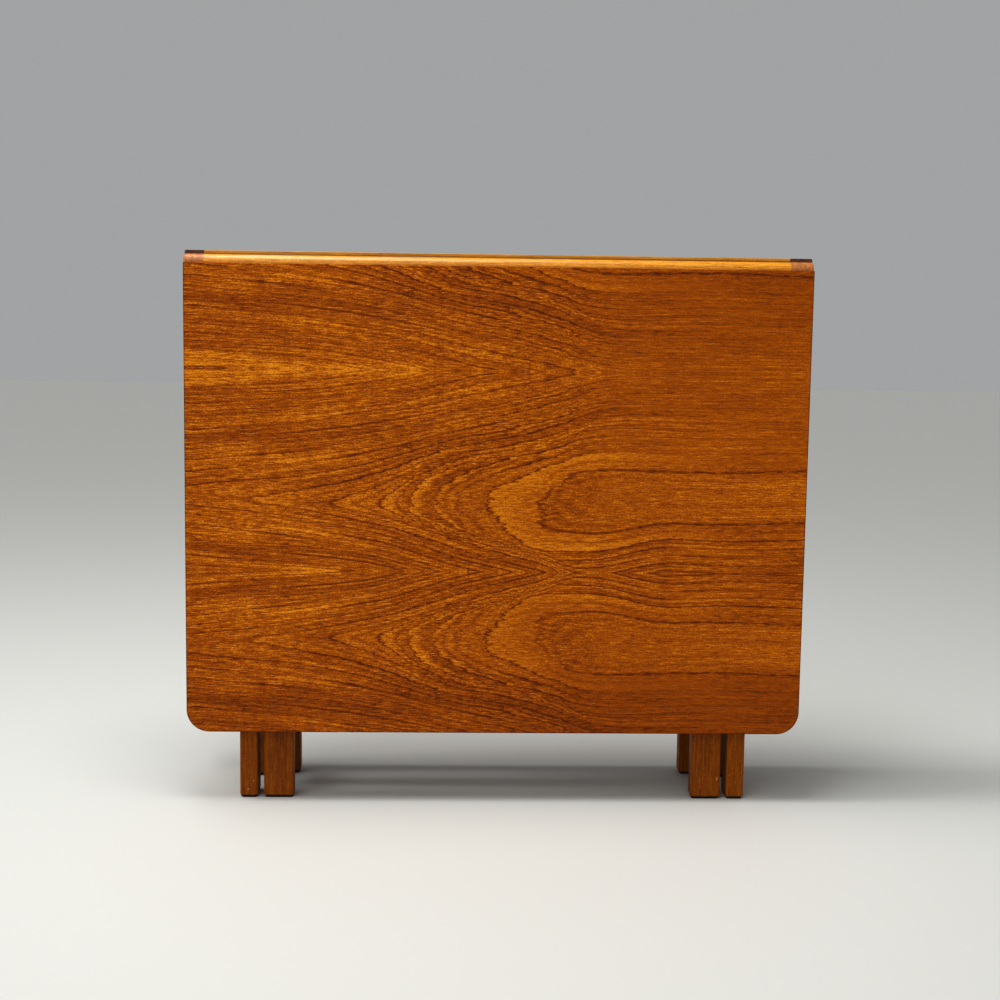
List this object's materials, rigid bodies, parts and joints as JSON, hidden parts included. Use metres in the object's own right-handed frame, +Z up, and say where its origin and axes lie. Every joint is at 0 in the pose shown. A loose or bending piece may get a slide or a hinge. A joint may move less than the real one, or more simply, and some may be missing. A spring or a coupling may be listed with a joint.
{
  "type": "drop leaf table",
  "caption": "Folded gateleg drop leaf table: narrow centre board, long hanging leaves on rule joints, and slim rectangular legs.",
  "frame": {"origin": "on the floor, under the middle of the table", "axes": "+Z up; X runs along the table, parallel to both leaves' hinges; the pictured leaf faces -Y; seen from there +X is to the right"},
  "size_m": [0.818, 0.184, 0.73],
  "materials": {
    "teak_veneer": "oiled crown-cut teak veneer, satin",
    "lipping_teak": "oiled solid teak, satin",
    "leg_teak": "oiled solid teak, satin",
    "rosewood": "dark rosewood, satin",
    "hinge_brass": "brushed, a little tarnished",
    "hinge_steel": "plain steel pin",
    "glide": "matt black"
  },
  "bodies": {
    "stand": {"centre_panel": "teak_veneer", "front_gate_bottom_rail": "leg_teak", "front_gate_hinge_stile": "leg_teak", "front_gate_leg_glide": "glide", "front_gate_lower_hinge_fixed_plate": "hinge_brass", "front_gate_lower_hinge_moving_plate": "hinge_brass", "front_gate_outer_leg": "leg_teak", "front_gate_stile_glide": "glide", "front_gate_top_rail": "leg_teak", "front_gate_upper_hinge_fixed_plate": "hinge_brass", "front_gate_upper_hinge_moving_plate": "hinge_brass", "front_left_flap_hinge_fixed_flap": "hinge_brass", "front_left_flap_hinge_pin": "hinge_steel", "front_left_leg_glide": "glide", "front_right_flap_hinge_fixed_flap": "hinge_brass", "front_right_flap_hinge_pin": "hinge_steel", "front_right_leg_glide": "glide", "front_rule_lipping": "lipping_teak", "left_end_band": "rosewood", "left_end_bottom_rail": "leg_teak", "left_end_front_leg": "leg_teak", "left_end_rear_leg": "leg_teak", "left_end_top_rail": "leg_teak", "long_top_rail": "leg_teak", "lower_stretcher": "leg_teak", "rear_gate_bottom_rail": "leg_teak", "rear_gate_hinge_stile": "leg_teak", "rear_gate_leg_glide": "glide", "rear_gate_lower_hinge_fixed_plate": "hinge_brass", "rear_gate_lower_hinge_moving_plate": "hinge_brass", "rear_gate_outer_leg": "leg_teak", "rear_gate_stile_glide": "glide", "rear_gate_top_rail": "leg_teak", "rear_gate_upper_hinge_fixed_plate": "hinge_brass", "rear_gate_upper_hinge_moving_plate": "hinge_brass", "rear_left_flap_hinge_fixed_flap": "hinge_brass", "rear_left_flap_hinge_pin": "hinge_steel", "rear_left_leg_glide": "glide", "rear_right_flap_hinge_fixed_flap": "hinge_brass", "rear_right_flap_hinge_pin": "hinge_steel", "rear_right_leg_glide": "glide", "rear_rule_lipping": "lipping_teak", "right_end_band": "rosewood", "right_end_bottom_rail": "leg_teak", "right_end_front_leg": "leg_teak", "right_end_rear_leg": "leg_teak", "right_end_top_rail": "leg_teak"},
    "front_leaf": {"front_leaf_edge_lipping": "lipping_teak", "front_leaf_gate_stop": "lipping_teak", "front_leaf_panel": "teak_veneer", "front_leaf_rule_lipping": "lipping_teak", "front_left_flap_hinge_moving_flap": "hinge_brass", "front_right_flap_hinge_moving_flap": "hinge_brass"},
    "rear_leaf": {"rear_leaf_edge_lipping": "lipping_teak", "rear_leaf_gate_stop": "lipping_teak", "rear_leaf_panel": "teak_veneer", "rear_leaf_rule_lipping": "lipping_teak", "rear_left_flap_hinge_moving_flap": "hinge_brass", "rear_right_flap_hinge_moving_flap": "hinge_brass"}
  },
  "joints": [
    {"name": "front_leaf_hinge", "type": "hinge", "parent": "stand", "child": "front_leaf", "pos_m": [0, -0.0767, 0.7147], "axis": [-1, 0, 0], "range_deg": [0, 90]},
    {"name": "rear_leaf_hinge", "type": "hinge", "parent": "stand", "child": "rear_leaf", "pos_m": [0, 0.0767, 0.7147], "axis": [1, 0, 0], "range_deg": [0, 90]}
  ]
}
